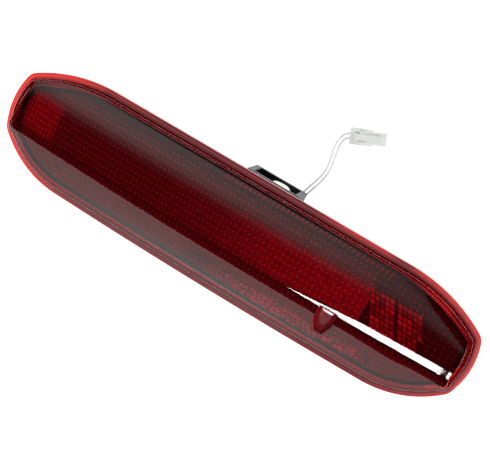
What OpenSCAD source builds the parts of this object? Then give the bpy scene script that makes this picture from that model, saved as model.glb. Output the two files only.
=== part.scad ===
// High-mounted third brake light: a red boat-shaped lens bonded to a black tray that holds four
// wedge bulbs in quarter-turn holders, with two studs, a rear bracket and a short two-wire lead.
// It lies on its back: +X along the lamp, +Y towards its top edge, +Z out through the lens.

/* [Lens] */
// Length over the flange
lamp_l = 350; // [320:1:400]
// From the crease line to the top edge
crease_to_top = 55; // [50:0.5:62]
// From the crease line to the bottom edge, at mid length
crease_to_bottom = 28.4; // [25:0.1:34]
// Radius of the curved taper at the top corners
top_taper_r = 110; // [95:1:125]
// Radius of the curved taper at the bottom corners
bottom_taper_r = 73; // [66:1:80]
// Radius of the four end corners
end_corner_r = 10; // [7:0.5:12]
// Height of the crease above the flange, at mid length
crease_h = 15.5; // [12:0.5:20]
// How far the crease has fallen at the very end of the lamp
crease_drop = 11; // [6:0.5:12]
// Height of the lens shoulder above the flange
shoulder_h = 4.5; // [3.5:0.1:5.5]
// Width of the narrow facet above the crease
facet_w = 6; // [3:0.5:9]
// Crown of the two lens faces
face_crown = 1.6; // [0:0.1:3]
// Wall of the lens
lens_wall = 2.5; // [2:0.1:3]
// Thickness of the lens flange
flange_t = 3; // [2:0.1:4]
// Width of the lens flange outside the shoulder
flange_w = 4; // [3:0.1:5]

/* [Jet recess] */
// Distance of the washer-jet recess from mid length
jet_x = 81; // [60:1:100]
// Width of the recess at its upper end
jet_w = 13; // [8:0.5:18]
// Width of the recess at its lower end
jet_w_low = 6; // [5:0.5:8]
// Length of the recess across the crease
jet_l = 17.5; // [12:0.5:20]
// Depth of the recess below the crease
jet_depth = 8; // [5:0.5:9]

/* [Housing] */
// Height of the lens flange above the stud tips
rim_z = 38; // [36:0.5:44]
// Depth of the tray below the lens flange
tray_depth = 20; // [19:0.5:22]
// How far the tray wall is set in from the lens edge
tray_inset = 12; // [11:0.5:14]
// Wall and floor of the tray
tray_wall = 2.5; // [2:0.1:3]
// Thickness of the adhesive bead
bond_t = 1; // [0.5:0.1:1.5]
// Thickness of the foam gasket towards the body
gasket_t = 4; // [2:0.5:4]
// Diameter of a locating peg
peg_d = 6; // [4:0.5:8]
// Spacing of the locating pegs along the lamp
peg_pitch_x = 140; // [120:1:150]
// Spacing of the locating pegs across the lamp
peg_pitch_y = 40; // [34:1:42]

/* [Bulbs] */
// Distance of the two inner bulbs from mid length
bulb_inner_x = 48; // [46:1:50]
// Distance of the two outer bulbs from mid length
bulb_outer_x = 132; // [128:1:134]
// Diameter of the bulb holder's barrel
holder_d = 19.8; // [18:0.1:20.4]
// Clearance of the barrel in its hole, on the radius
holder_gap = 0.3; // [0.2:0.05:0.4]
// Turn from locked to released
twist_deg = 45; // [30:1:60]
// Diameter of the bulb glass
glass_d = 10; // [8:0.1:11]

/* [Mounting] */
// Spacing of the two studs
stud_pitch = 186; // [184:1:188]
// Diameter of a stud
stud_d = 5; // [4:0.5:6]
// Outside width of the rear bracket
bracket_w = 39.5; // [36:0.5:44]
// Middle of the bracket, along the lamp
bracket_x = 7.75; // [6:0.25:9]
// Wall of the rear bracket
bracket_wall = 4; // [3:0.5:4.5]
// Diameter of the white clip
clip_d = 11; // [9:0.5:12]
// Diameter of the bore in the white clip
clip_bore_d = 4.2; // [3:0.1:5]

/* [Lead] */
// Diameter of one lead wire over its insulation
wire_d = 1.8; // [1.4:0.1:2]
// Length of the connector
plug_l = 24; // [22:0.5:26]
// Width of the connector
plug_w = 11; // [10:0.5:13]
// Height of the connector
plug_h = 8.4; // [8:0.1:10]

/* [Hidden] */
$fn = 48;
eps = 0.01;

// ---- plan outline of the lens, drawn about the crease line and then moved so that y = 0 is its middle ----
half_l = lamp_l / 2;
crease_y = (crease_to_bottom - crease_to_top) / 2;
top_straight = half_l - 64;         // half length of the straight top edge
bottom_straight = half_l - 57;
bottom_bow = 1.4;                   // bulge of the bottom edge at mid length
end_bow = 2.5;                      // bulge of each end
half_c = half_l - end_bow;
corner_x = half_c - end_corner_r;   // middle of an end corner's radius

function arc_drop(r, run) = r - sqrt(max(0, r * r - run * run));
function corner_mid(r, edge, straight) =
    edge - r + sqrt(pow(r - end_corner_r, 2) - pow(corner_x - straight, 2));
function edge_at(x, r, edge, straight) =
    let (ax = abs(x), join = straight + (corner_x - straight) * r / (r - end_corner_r))
    ax <= straight ? edge
    : ax <= join ? edge - arc_drop(r, ax - straight)
    : corner_mid(r, edge, straight) + sqrt(max(0, pow(end_corner_r, 2) - pow(min(ax, half_c) - corner_x, 2)));
function top_y(x) = edge_at(x, top_taper_r, crease_to_top, top_straight);
function bottom_y(x) = -edge_at(x, bottom_taper_r, crease_to_bottom - bottom_bow, bottom_straight)
    - bottom_bow * max(0, 1 - pow(x / bottom_straight, 2));

spine_end = half_l - 13;            // where the crease meets the shoulder
stations = 30;
spine_xs = [for (k = [0 : stations]) -spine_end + 2 * spine_end * k / stations];
end_xs = [for (a = [10, 22, 34, 46, 58, 69]) corner_x + end_corner_r * sin(a)];
end_x = end_xs[len(end_xs) - 1];
end_mid = [for (t = [-0.75, -0.4, 0, 0.4, 0.75])
    [half_l - (half_l - end_x) * t * t, ((1 - t) * top_y(end_x) + (1 + t) * bottom_y(end_x)) / 2]];
right_end = concat([for (x = end_xs) [x, top_y(x)]], end_mid,
    [for (i = [len(end_xs) - 1 : -1 : 0]) [end_xs[i], bottom_y(end_xs[i])]]);
left_end = [for (i = [len(right_end) - 1 : -1 : 0]) [-right_end[i][0], right_end[i][1]]];
rim_points = concat([for (x = spine_xs) [x, top_y(x)]], right_end,
    [for (k = [stations : -1 : 0]) [spine_xs[k], bottom_y(spine_xs[k])]], left_end);
n_rim = len(rim_points);

function unit(v) = v / norm(v);
function rim_in(i) = let (t = unit(rim_points[(i + 1) % n_rim] - rim_points[(i + n_rim - 1) % n_rim]))
    [t[1], -t[0]];
function spine_x(i) = max(-spine_end, min(spine_end, rim_points[i][0]));
function spine_gap(i) = norm(rim_points[i] - [spine_x(i), 0]);
function crease_z(x) = flange_t + crease_h - crease_drop * pow(x / half_l, 2);

// A ring point at a set distance in from the rim; the rings close up where the lens is narrow.
function inset_point(i, s) = rim_points[i] + rim_in(i) * s * min(1, spine_gap(i) / 13);
// The facet's edge above the crease, and a small bevel below it.
function upper_share(i) = max(0, min(1, rim_points[i][1] / 20));
function facet_point(i) = [spine_x(i), facet_w * upper_share(i) - (rim_points[i][1] < 0 ? 1.2 : 0)];
function facet_z(i) = crease_z(spine_x(i)) - 0.5;
function face_point(i, s, v, sink) = let (a = inset_point(i, s), b = facet_point(i),
        za = flange_t + shoulder_h, zb = facet_z(i))
    [a[0] + (b[0] - a[0]) * v, a[1] + (b[1] - a[1]) * v,
        za + (zb - za) * v + face_crown * 4 * v * (1 - v) - sink];
function flat_ring(s, z) = [for (i = [0 : n_rim - 1]) let (p = inset_point(i, s)) [p[0], p[1], z]];
function face_ring(s, v, sink) = [for (i = [0 : n_rim - 1]) face_point(i, s, v, sink)];
function spine_ring(sink) = [for (i = [0 : n_rim - 1]) [spine_x(i), 0, crease_z(spine_x(i)) - sink]];

shoulder_in = flange_w + 5;
face_steps = [0, 0.2, 0.45, 0.7, 1];
module ring_solid(rings, base) {
    n = n_rim;
    m = len(rings);
    points = concat([for (r = rings) each r], [[0, 0, base]]);
    sides = [for (j = [0 : m - 2], i = [0 : n - 1]) let (a = j * n + i, b = j * n + (i + 1) % n)
        each [[a, b + n, a + n], [a, b, b + n]]];
    bottom = [for (i = [0 : n - 1]) [m * n, (i + 1) % n, i]];
    translate([0, crease_y, rim_z]) polyhedron(points, concat(sides, bottom), convexity = 8);
}
module lens_solid() ring_solid(concat(
    [flat_ring(0, 0), flat_ring(0, flange_t), flat_ring(flange_w, flange_t),
        flat_ring(flange_w + 0.8, flange_t + shoulder_h * 0.6),
        flat_ring(flange_w + 2.4, flange_t + shoulder_h * 0.92)],
    [for (v = face_steps) face_ring(shoulder_in, v, 0)], [spine_ring(0)]), 0);
inner_in = flange_w + lens_wall + 0.5;
module lens_hollow() ring_solid(concat(
    [flat_ring(inner_in, -1), flat_ring(inner_in, flange_t + shoulder_h * 0.9 - lens_wall)],
    [for (v = face_steps) face_ring(shoulder_in + 1, v, lens_wall)], [spine_ring(lens_wall)]), -1);

// ---- levels, all measured up from the stud tips ----
floor_z = rim_z - tray_depth;                   // underside of the tray floor
floor_top = floor_z + tray_wall;
tray_top = rim_z - bond_t;                      // top of the tray flange
tray_flange_z = tray_top - tray_wall;
plate_z = tray_top;                             // the optic plate lies on the tray flange
plate_t = 1.8;
reflector_t = 1.5;
reflector_top = plate_z - 2.5;
neck_z = floor_top + 3.7;                       // lowest edge of a reflector bowl
strip_t = 0.4;
lug_z = floor_top + strip_t + 0.3;
lug_t = 1.8;

module rim(inset) translate([0, crease_y]) offset(delta = -inset) polygon(rim_points);
module rim_ring(outer, inner) difference() {
    rim(outer);
    rim(inner);
}

// ---- washer-jet recess ----
jet_floor = rim_z + crease_z(jet_x) - jet_depth;
jet_top_y = crease_y + 6.5;
module jet_plan(grow) translate([jet_x, jet_top_y]) polygon([
    [-jet_w / 2 - grow, grow], [jet_w / 2 + grow, grow], [jet_w / 2 + grow, -jet_l * 0.55],
    [jet_w_low / 2 + grow, -jet_l - grow], [-jet_w_low / 2 - grow, -jet_l - grow],
    [-jet_w / 2 - grow, -jet_l * 0.55]]);
module outer_lens() color("crimson") difference() {
    lens_solid();
    difference() {
        lens_hollow();
        translate([0, 0, jet_floor - lens_wall]) linear_extrude(40) jet_plan(lens_wall);
    }
    translate([0, 0, jet_floor]) linear_extrude(40) jet_plan(0);
}
module lens_bond() color("dimgray") translate([0, 0, tray_top]) linear_extrude(bond_t)
    rim_ring(flange_w - 0.1, inner_in - 0.6);
module optic_plate() color("firebrick") translate([0, 0, plate_z]) linear_extrude(plate_t)
    rim(inner_in + 2.4);

// ---- bulbs, holders and reflectors ----
bulb_xs = [-bulb_outer_x, -bulb_inner_x, bulb_inner_x, bulb_outer_x];
chamber_split = 95.5;                           // where the centre reflector meets the outer ones
chamber_gap = 1.5;
neck_r = holder_d / 2;
inner_bowl_r = 24;
outer_bowl_r = 20;
strip_y = 17;
strip_w = 5;
boss_r = 3.5;
screw_r = 1.4;
centre_screws = [[-82, 0], [0, 0], [82, 0]];
side_screws = [[104, 10], [104, -10]];
all_screws = concat(centre_screws, side_screws, [for (p = side_screws) [-p[0], p[1]]]);

module bowl(x, r, out) translate([x, 0, neck_z - out])
    cylinder(h = reflector_top - neck_z + 2 * out, r1 = neck_r - out, r2 = r + out);
module reflector(x_low, x_high, bulbs, r, screws) color("silver") difference() {
    union() {
        translate([0, 0, reflector_top - reflector_t]) linear_extrude(reflector_t) intersection() {
            rim(tray_inset + tray_wall + 0.7);
            translate([x_low, -half_l]) square([x_high - x_low, 2 * half_l]);
        }
        for (x = bulbs) translate([x, 0, neck_z])
            cylinder(h = reflector_top - neck_z - eps, r1 = neck_r + reflector_t, r2 = r + reflector_t);
    }
    for (x = bulbs) bowl(x, r, eps);
    for (p = screws) translate([p[0], p[1], reflector_top - 3]) cylinder(h = 6, r = screw_r + 0.2);
}
module reflector_left() reflector(-half_l, -chamber_split - chamber_gap / 2, [-bulb_outer_x],
    outer_bowl_r, [for (p = side_screws) [-p[0], p[1]]]);
module reflector_centre() reflector(-chamber_split + chamber_gap / 2, chamber_split - chamber_gap / 2,
    [-bulb_inner_x, bulb_inner_x], inner_bowl_r, centre_screws);
module reflector_right() reflector(chamber_split + chamber_gap / 2, half_l, [bulb_outer_x],
    outer_bowl_r, side_screws);
module reflector_screws() color("gray") for (p = all_screws) translate([p[0], p[1], 0]) {
    translate([0, 0, floor_top + 1]) cylinder(h = reflector_top - floor_top - 1, r = screw_r);
    translate([0, 0, reflector_top]) cylinder(h = 1.8, r = 2.8);
}
module contact_strip(side) color("goldenrod") translate([0, 0, floor_top]) linear_extrude(strip_t) {
    translate([-bulb_outer_x - 4, side * strip_y - strip_w / 2]) square([2 * bulb_outer_x + 8, strip_w]);
    for (x = bulb_xs) translate([x - 3, side > 0 ? neck_r + 1.2 : -strip_y])
        square([6, strip_y - neck_r - 1.2]);
}
module contact_strip_live() contact_strip(1);
module contact_strip_earth() contact_strip(-1);

hole_r = holder_d / 2 + holder_gap;
lug_r = hole_r + 2.6;
lug_w = 4.5;
holder_top = 2.5;                               // how far the holder stands above the bowl's neck
module holder(x) color("black") translate([x, 0, 0]) difference() {
    union() {
        translate([0, 0, floor_z - 5]) cylinder(h = 2.9, r = hole_r + 3.3);
        translate([0, 0, floor_z - 3]) cylinder(h = neck_z - floor_z + 2.2, r = holder_d / 2);
        translate([0, 0, neck_z - 1]) cylinder(h = holder_top + 1, r = neck_r - 1.2);
        translate([-lug_w / 2, -lug_r, lug_z]) cube([lug_w, 2 * lug_r, lug_t]);
        translate([-3.5, -hole_r, floor_z - 14]) cube([7, 2 * hole_r, 9.5]);
    }
    translate([-4.6, -1.8, floor_z - 1]) cube([9.2, 3.6, 20]);
}
module holder_seal(x) color("dimgray") translate([x, 0, floor_z - 2.1]) difference() {
    cylinder(h = 2, r = hole_r + 3);
    translate([0, 0, -1]) cylinder(h = 4, r = holder_d / 2);
}
glass_r = glass_d / 2;
glass_wall = 0.8;
glass_z = neck_z + holder_top;                  // the glass stands on the holder
module bulb(x) color("white", 0.5) translate([x, 0, 0]) {
    translate([-4.5, -1.7, floor_z - 1]) cube([9, 3.4, glass_z - floor_z + 1.4]);
    translate([0, 0, glass_z]) difference() {
        union() {
            cylinder(h = reflector_top - glass_z - glass_r + 1, r = glass_r);
            translate([0, 0, reflector_top - glass_z - glass_r + 1]) sphere(r = glass_r);
        }
        translate([0, 0, glass_wall])
            cylinder(h = reflector_top - glass_z - glass_r + 1 - glass_wall, r = glass_r - glass_wall);
        translate([0, 0, reflector_top - glass_z - glass_r + 1]) sphere(r = glass_r - glass_wall);
        translate([-glass_d, -glass_d, -glass_d]) cube([2 * glass_d, 2 * glass_d, glass_d]);
    }
}
module filament(x) color("darkgray") translate([x, 0, glass_z + glass_wall / 2]) {
    for (side = [-1, 1]) translate([side * 2, 0, 0]) cylinder(h = 4, r = 0.25);
    translate([-2.25, 0, 4]) rotate([0, 90, 0]) cylinder(h = 4.5, r = 0.3);
}
module bulb_holder_1() holder(bulb_xs[0]);
module bulb_holder_2() holder(bulb_xs[1]);
module bulb_holder_3() holder(bulb_xs[2]);
module bulb_holder_4() holder(bulb_xs[3]);
module holder_seal_1() holder_seal(bulb_xs[0]);
module holder_seal_2() holder_seal(bulb_xs[1]);
module holder_seal_3() holder_seal(bulb_xs[2]);
module holder_seal_4() holder_seal(bulb_xs[3]);
module bulb_1() bulb(bulb_xs[0]);
module bulb_2() bulb(bulb_xs[1]);
module bulb_3() bulb(bulb_xs[2]);
module bulb_4() bulb(bulb_xs[3]);
module filament_1() filament(bulb_xs[0]);
module filament_2() filament(bulb_xs[1]);
module filament_3() filament(bulb_xs[2]);
module filament_4() filament(bulb_xs[3]);

// ---- tray ----
grommet_xy = [16, -6];
grommet_r = 4.5;
vent_xy = [-73, 0];
bracket_screw_xs = [bracket_x - 12, bracket_x + 12];
bracket_screw_y = 10;
module bayonet_hole(x) translate([x, 0, floor_z - 1]) {
    cylinder(h = tray_wall + 2, r = hole_r);
    rotate([0, 0, 90 + twist_deg])
        translate([-lug_r - 0.5, -lug_w / 2 - 0.5, 0]) cube([2 * lug_r + 1, lug_w + 1, tray_wall + 2]);
}
module rear_housing() color("#202020") difference() {
    union() {
        translate([0, 0, floor_z]) linear_extrude(tray_flange_z - floor_z + 1) rim(tray_inset);
        translate([0, 0, tray_flange_z]) linear_extrude(tray_wall) rim(flange_w - 0.4);
        for (sx = [-1, 1], sy = [-1, 1]) translate([sx * peg_pitch_x / 2, sy * peg_pitch_y / 2, 0])
            cylinder(h = floor_z + 1, r = peg_d / 2);
    }
    difference() {
        translate([0, 0, floor_top]) linear_extrude(30) rim(tray_inset + tray_wall);
        for (p = all_screws) translate([p[0], p[1], 0])
            cylinder(h = reflector_top - reflector_t, r = boss_r);
        for (x = bracket_screw_xs) translate([x, bracket_screw_y, 0]) cylinder(h = floor_top + 7, r = boss_r);
    }
    for (p = all_screws) translate([p[0], p[1], floor_top + 0.6]) cylinder(h = 30, r = screw_r);
    for (x = bracket_screw_xs) translate([x, bracket_screw_y, -1]) cylinder(h = floor_top + 6, r = screw_r);
    for (x = bulb_xs) bayonet_hole(x);
    for (side = [-1, 1]) translate([side * stud_pitch / 2, 0, floor_z - 1])
        cylinder(h = tray_wall + 2, r = stud_d / 2 + 0.1);
    translate([grommet_xy[0], grommet_xy[1], floor_z - 1]) cylinder(h = tray_wall + 2, r = grommet_r);
    translate([vent_xy[0], vent_xy[1], floor_z - 1]) cylinder(h = tray_wall + 2, r = 1.5);
}
module body_gasket() color("#303030") translate([0, 0, tray_flange_z - gasket_t]) linear_extrude(gasket_t)
    rim_ring(flange_w, tray_inset - 2);
module mounting_studs() color("silver") for (side = [-1, 1]) translate([side * stud_pitch / 2, 0, 0]) {
    cylinder(h = floor_top + 3, r = stud_d / 2);
    translate([0, 0, floor_top]) cylinder(h = 1.5, r = stud_d / 2 + 2.5);
}
module stud_seals() color("#303030") for (side = [-1, 1])
    translate([side * stud_pitch / 2, 0, floor_z - gasket_t]) difference() {
        cylinder(h = gasket_t, r = stud_d / 2 + 5);
        translate([0, 0, -1]) cylinder(h = gasket_t + 2, r = stud_d / 2 + 0.2);
    }
module vent_cap() color("#303030") translate([vent_xy[0], vent_xy[1], floor_z - 4]) difference() {
    cylinder(h = 4, r = 5);
    translate([0, 0, 1.2]) cylinder(h = 4, r = 2.5);
}

// ---- rear bracket: a shallow box under the tray, with an upright frame whose mouth faces +Y ----
bracket_left = bracket_x - bracket_w / 2;
bracket_z = 5;                                  // its back wall clears the lead below
bracket_back_t = 3;
bracket_top_t = 2.5;
bracket_y0 = 6;
bracket_y1 = crease_y + crease_to_top - 1;      // the mouth's face, just inside the lens edge
frame_y0 = crease_y + crease_to_top - tray_inset + 0.5;
frame_top = tray_flange_z - gasket_t - 0.5;
web_t = 2.8;
reach = 60;                                     // long enough to cut right through the bracket
spigot_r = 3.2;                                 // the clip's root, pressed into the web
clip_x = bracket_x + 3.75;
clip_z = 20;
module rear_bracket() color("#404244") difference() {
    union() {
        translate([bracket_left, bracket_y0, bracket_z])
            cube([bracket_w, bracket_y1 - bracket_y0, floor_z - bracket_z]);
        translate([bracket_left, frame_y0, bracket_z])
            cube([bracket_w, bracket_y1 - frame_y0, frame_top - bracket_z]);
    }
    translate([bracket_left + bracket_wall, bracket_y0 - 1, bracket_z + bracket_back_t])
        cube([bracket_w - 2 * bracket_wall, reach, floor_z - bracket_z - bracket_back_t - bracket_top_t]);
    translate([bracket_left + bracket_wall, frame_y0 + web_t, bracket_z + bracket_back_t])
        cube([bracket_w - 2 * bracket_wall, reach, frame_top - bracket_z - 2 * bracket_back_t]);
    translate([clip_x, frame_y0 - 1, clip_z]) rotate([-90, 0, 0]) cylinder(h = 6, r = spigot_r);
    for (x = bracket_screw_xs) translate([x, bracket_screw_y, bracket_z + bracket_back_t])
        cylinder(h = 20, r = screw_r + 0.2);
}
module bracket_screws() color("gray") for (x = bracket_screw_xs)
    translate([x, bracket_screw_y, floor_z - bracket_top_t]) {
        cylinder(h = tray_wall + bracket_top_t + 4, r = screw_r);
        translate([0, 0, -1.8]) cylinder(h = 1.8, r = 2.8);
    }
module fixing_clip() color("whitesmoke") translate([clip_x, frame_y0 + web_t, clip_z])
    rotate([-90, 0, 0]) difference() {
        union() {
            cylinder(h = bracket_y1 - frame_y0 - web_t - 2, r = clip_d / 2);
            translate([0, 0, -web_t]) cylinder(h = web_t + 1, r = spigot_r);
        }
        translate([0, 0, -web_t - 1]) cylinder(h = 30, r = clip_bore_d / 2);
    }

// ---- lead: two single wires; the routes are chosen by hand ----
wire_live_route = [[14.6, -6, 24], [14.6, -6, 17], [14.7, -5.4, 11], [15, -3.2, 6.4], [15.5, 0.8, 3],
    [16.4, 6, 1.3], [17.6, 12, 1], [19, 20, 1], [20.6, 28, 1], [22.4, 35, 1], [24.4, 41.2, 1],
    [26.4, 46.9, 1], [28.4, 52.3, 1], [29.8, 57.8, 1], [29.9, 63.2, 1], [28.8, 69.8, 1], [27.4, 76.4, 1],
    [27.4, 81.6, 1.2], [28.8, 86.4, 2], [31.8, 89.4, 3.2], [34.2, 90.6, 3.6], [37, 91.7, 3.7]];
wire_earth_route = [[17.4, -6, 24], [17.4, -6, 17], [17.5, -5.4, 11], [17.8, -3.2, 6.4], [18.3, 0.8, 3],
    [19.2, 5.8, 1.3], [20.2, 11.6, 1], [21.6, 19.6, 1], [23.2, 27.6, 1], [25, 34.4, 1], [26.8, 40.2, 1],
    [28.8, 45.9, 1], [30.8, 51.3, 1], [32.2, 57.4, 1], [32.3, 63.8, 1], [31.2, 70.6, 1], [30.1, 76.6, 1],
    [30, 80.8, 1.2], [31, 84.4, 2], [33.4, 86.9, 3.2], [35.4, 87.8, 3.6], [38.2, 88.9, 3.7]];
tube_sides = 8;
function tangent(route, i) =
    unit(route[min(i + 1, len(route) - 1)] - route[max(i - 1, 0)]);
function tube_ring(route, i, r) = let (t = tangent(route, i), a = unit(cross(t, [1, 0.2, 0.1])), b = cross(t, a))
    [for (k = [0 : tube_sides - 1]) route[i] + r * (a * cos(360 * k / tube_sides) + b * sin(360 * k / tube_sides))];
module tube(route, d) {
    n = tube_sides;
    m = len(route);
    polyhedron([for (i = [0 : m - 1]) each tube_ring(route, i, d / 2)],
        concat([for (j = [0 : m - 2], k = [0 : n - 1]) let (a = j * n + k, b = j * n + (k + 1) % n)
            each [[a, b + n, b], [a, a + n, b + n]]],
            [[for (k = [0 : n - 1]) k]], [[for (k = [n - 1 : -1 : 0]) (m - 1) * n + k]]));
}
module wire_live() color("#f4f4f0") tube(wire_live_route, wire_d);
module wire_earth() color("#f4f4f0") tube(wire_earth_route, wire_d);
module lead_grommet() color("#303030") translate([grommet_xy[0], grommet_xy[1], floor_z]) difference() {
    union() {
        translate([0, 0, -3]) cylinder(h = 3, r = grommet_r + 1.5);
        cylinder(h = tray_wall, r = grommet_r);
        translate([0, 0, tray_wall]) cylinder(h = 1, r = grommet_r + 1);
    }
    for (side = [-1, 1]) translate([side * 1.4, 0, -4]) cylinder(h = 12, r = wire_d / 2 + 0.1);
}

// ---- connector, lying on the surface at the end of the lead ----
plug_turn = 21.5;
plug_at = [44.6, 93.2];
cavity_gap = 3;                                 // spacing of the two terminal cavities
entry_z = 3.7;
seal_r = 1.45;
seal_l = 4;
hinge_x = -4;
hinge_z = plug_h + 1.5;
hinge_r = 0.8;
module plug_place() translate([plug_at[0], plug_at[1], 0]) rotate([0, 0, plug_turn]) children();
module connector_housing() color("#f2f3f0") plug_place() difference() {
    union() {
        translate([-plug_l / 2, -plug_w / 2, 0]) cube([plug_l * 0.62, plug_w, plug_h]);
        translate([-plug_l / 2 + 1, -plug_w / 2 + 1.2, 0.6]) cube([plug_l - 1, plug_w - 2.4, plug_h - 1.6]);
        for (side = [-1, 1]) translate([hinge_x - 1.6, side * 3.4 - 0.7, plug_h - 0.5])
            cube([3.2, 1.4, 3.6]);
    }
    for (side = [-1, 1]) translate([0, side * cavity_gap / 2, entry_z]) {
        translate([-plug_l / 2 - 1, 0, 0]) rotate([0, 90, 0]) cylinder(h = seal_l + 1, r = seal_r);
        translate([-plug_l / 2 + 3, -1, -1]) cube([plug_l, 2, 2]);
    }
    translate([hinge_x, -6, hinge_z]) rotate([-90, 0, 0]) cylinder(h = 12, r = hinge_r + 0.06);
}
module connector_terminals() color("goldenrod") plug_place() for (side = [-1, 1])
    translate([-plug_l / 2 + 5.2, side * cavity_gap / 2 - 0.8, entry_z - 0.9]) cube([14, 1.6, 1.6]);
module wire_seals() color("#b03a2e") plug_place() for (side = [-1, 1])
    translate([-plug_l / 2, side * cavity_gap / 2, entry_z]) rotate([0, 90, 0]) difference() {
        cylinder(h = seal_l, r = seal_r);
        translate([0, 0, -1]) cylinder(h = 10, r = wire_d / 2 + 0.1);
    }
module connector_latch() color("#e8e9e6") plug_place() {
    translate([hinge_x, -4, hinge_z]) rotate([-90, 0, 0]) cylinder(h = 8, r = hinge_r);
    translate([hinge_x - 5, -2.2, hinge_z - 0.5]) cube([17, 4.4, 1.1]);
    translate([hinge_x + 10.8, -2.2, hinge_z - 1.2]) cube([1.2, 4.4, 1.2]);
}

outer_lens();
lens_bond();
optic_plate();
reflector_left();
reflector_centre();
reflector_right();
reflector_screws();
contact_strip_live();
contact_strip_earth();
rear_housing();
body_gasket();
bulb_holder_1();
bulb_holder_2();
bulb_holder_3();
bulb_holder_4();
holder_seal_1();
holder_seal_2();
holder_seal_3();
holder_seal_4();
bulb_1();
bulb_2();
bulb_3();
bulb_4();
filament_1();
filament_2();
filament_3();
filament_4();
mounting_studs();
stud_seals();
vent_cap();
rear_bracket();
bracket_screws();
fixing_clip();
lead_grommet();
wire_live();
wire_earth();
connector_housing();
connector_terminals();
wire_seals();
connector_latch();
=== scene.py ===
import math
import random
import bmesh
import bpy
import numpy as np
from mathutils import Matrix, Vector


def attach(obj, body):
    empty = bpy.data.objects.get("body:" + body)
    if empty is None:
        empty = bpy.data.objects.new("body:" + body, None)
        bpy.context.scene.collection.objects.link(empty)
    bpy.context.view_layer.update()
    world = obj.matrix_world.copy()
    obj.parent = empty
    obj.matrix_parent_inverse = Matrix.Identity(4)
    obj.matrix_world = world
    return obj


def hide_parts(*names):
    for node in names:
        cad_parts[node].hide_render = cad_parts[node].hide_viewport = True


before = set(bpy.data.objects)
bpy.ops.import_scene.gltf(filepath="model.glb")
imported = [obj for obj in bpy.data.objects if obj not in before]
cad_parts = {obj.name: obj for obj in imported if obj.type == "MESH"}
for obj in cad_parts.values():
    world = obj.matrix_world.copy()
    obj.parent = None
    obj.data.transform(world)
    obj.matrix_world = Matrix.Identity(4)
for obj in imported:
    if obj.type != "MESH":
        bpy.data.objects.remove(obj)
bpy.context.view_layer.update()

# third brake light, lying on its back: lengths below are in millimetres, Blender gets metres
mm = 0.001
scene = bpy.context.scene


# camera
view = {"at": (110.66, 170.68, 658.23), "right": (0.84772, 0.46018, -0.26382),
        "down": (0.50679, -0.84951, 0.14664), "lens": 73.469, "sensor": 36}
lensData = bpy.data.cameras.new("camera")
lensData.lens, lensData.sensor_width, lensData.sensor_fit = view["lens"], view["sensor"], "HORIZONTAL"
lensData.clip_start, lensData.clip_end = 0.01, 60
cameraObject = bpy.data.objects.new("camera", lensData)
scene.collection.objects.link(cameraObject)
rightAxis = Vector(view["right"]).normalized()
upAxis = -(Vector(view["down"]) - rightAxis * Vector(view["down"]).dot(rightAxis)).normalized()
backAxis = rightAxis.cross(upAxis)
turn = Matrix((rightAxis, upAxis, backAxis)).transposed().to_4x4()
cameraObject.matrix_world = Matrix.Translation(Vector(view["at"]) * mm) @ turn
scene.camera = cameraObject
scene.view_settings.view_transform = "Standard"


# small helpers
def toLinear(hexColour):
    parts = [int(hexColour[i:i + 2], 16) / 255 for i in (1, 3, 5)]
    return tuple(c / 12.92 if c <= 0.04045 else ((c + 0.055) / 1.055) ** 2.4 for c in parts) + (1.0,)


def addNode(tree, kind, values=None, **settings):
    node = tree.nodes.new(kind)
    for name, value in settings.items():
        setattr(node, name, value)
    for socket, value in (values or {}).items():
        if isinstance(value, bpy.types.NodeSocket):
            tree.links.new(value, node.inputs[socket])
        else:
            node.inputs[socket].default_value = value
    return node


def newMaterial(name):
    material = bpy.data.materials.new(name)
    material.use_nodes = True
    material.node_tree.nodes.clear()
    return material, material.node_tree


def meshPiece(name, points, faces, body, materials, smooth=True, glow=None):
    mesh = bpy.data.meshes.new(name)
    mesh.from_pydata([tuple(float(c) * mm for c in p) for p in points], [], faces)
    for m in materials:
        mesh.materials.append(m)
    mesh.polygons.foreach_set("use_smooth", [smooth] * len(mesh.polygons))
    if glow is not None:
        layer = mesh.attributes.new("glow", "FLOAT", "FACE")
        layer.data.foreach_set("value", glow)
    mesh.update()
    piece = bpy.data.objects.new(name, mesh)
    scene.collection.objects.link(piece)
    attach(piece, body)
    return piece


def curvePiece(name, points, radius, body, material, roundness=5):
    data = bpy.data.curves.new(name, "CURVE")
    data.dimensions, data.bevel_depth, data.bevel_resolution = "3D", radius * mm, roundness
    data.resolution_u, data.use_fill_caps = 6, True
    spline = data.splines.new("NURBS")
    spline.points.add(len(points) - 1)
    for slot, p in zip(spline.points, points):
        slot.co = (p[0] * mm, p[1] * mm, p[2] * mm, 1)
    spline.use_endpoint_u, spline.order_u = True, 3
    data.materials.append(material)
    piece = bpy.data.objects.new(name, data)
    scene.collection.objects.link(piece)
    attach(piece, body)
    return piece


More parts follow.
